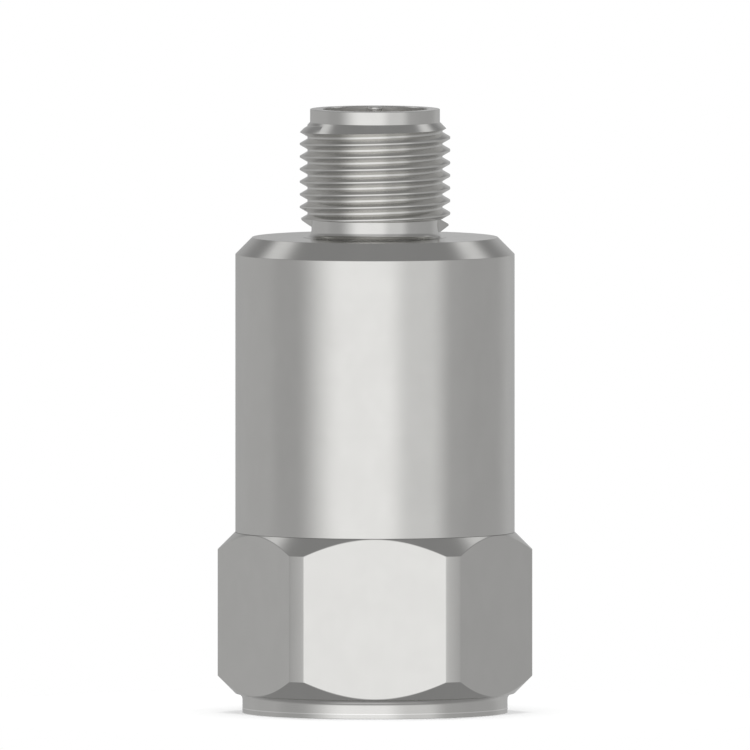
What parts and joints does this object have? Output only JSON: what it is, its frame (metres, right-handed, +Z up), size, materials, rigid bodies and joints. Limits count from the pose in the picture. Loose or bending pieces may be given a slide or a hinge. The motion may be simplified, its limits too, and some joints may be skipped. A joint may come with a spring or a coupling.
{
  "type": "vibration sensor",
  "caption": "Stainless steel industrial vibration sensor: hex base with stud hole, round sealed case and threaded plug connector on top.",
  "frame": {"origin": "centre of the round mounting face under the hex base, on the sensor's axis", "axes": "+Z up along the sensor's axis, out through the connector; +Y is the side of the connector's key and the normal of one wrench flat; the opposite flat faces -Y"},
  "size_m": [0.025, 0.0222, 0.0479],
  "materials": {
    "steel_body": "fine turned and ground stainless steel, satin",
    "steel_connector": "fine turned stainless steel, satin",
    "contact_insert": "moulded black plastic",
    "gold_pin": "gold plated",
    "inner_steel": "turned",
    "alumina": "fired, unglazed",
    "electrode": "thin copper alloy sheet",
    "piezo_ceramic": "fired, ground",
    "tungsten": "sintered heavy alloy, turned",
    "white_plastic": "turned fluoropolymer",
    "board": "glass epoxy board with solder mask",
    "chip": "moulded epoxy package",
    "capacitor": "fired ceramic chip",
    "lead": "insulated wire"
  },
  "bodies": {
    "root": {"hex_base": "steel_body", "case": "steel_body", "connector_shell": "steel_connector", "contact_insert": "contact_insert", "pin_1": "gold_pin", "pin_2": "gold_pin", "pin_3": "gold_pin", "pin_4": "gold_pin", "element_base": "inner_steel", "clamp_washer": "inner_steel", "clamp_nut": "inner_steel", "shield_can": "inner_steel", "standoff_1": "inner_steel", "standoff_2": "inner_steel", "standoff_3": "inner_steel", "board_screw_1": "inner_steel", "board_screw_2": "inner_steel", "board_screw_3": "inner_steel", "isolation_washer": "alumina", "lower_insulator": "alumina", "inner_electrode": "electrode", "outer_electrode": "electrode", "piezo_ring": "piezo_ceramic", "seismic_mass": "tungsten", "feedthrough_bush": "white_plastic", "circuit_board": "board", "amplifier_chip": "chip", "transistor": "chip", "resistor_1": "chip", "resistor_2": "chip", "capacitor_1": "capacitor", "capacitor_2": "capacitor", "signal_lead": "lead", "pin_lead_1": "lead", "pin_lead_2": "lead", "pin_lead_3": "lead", "pin_lead_4": "lead"}
  },
  "joints": []
}
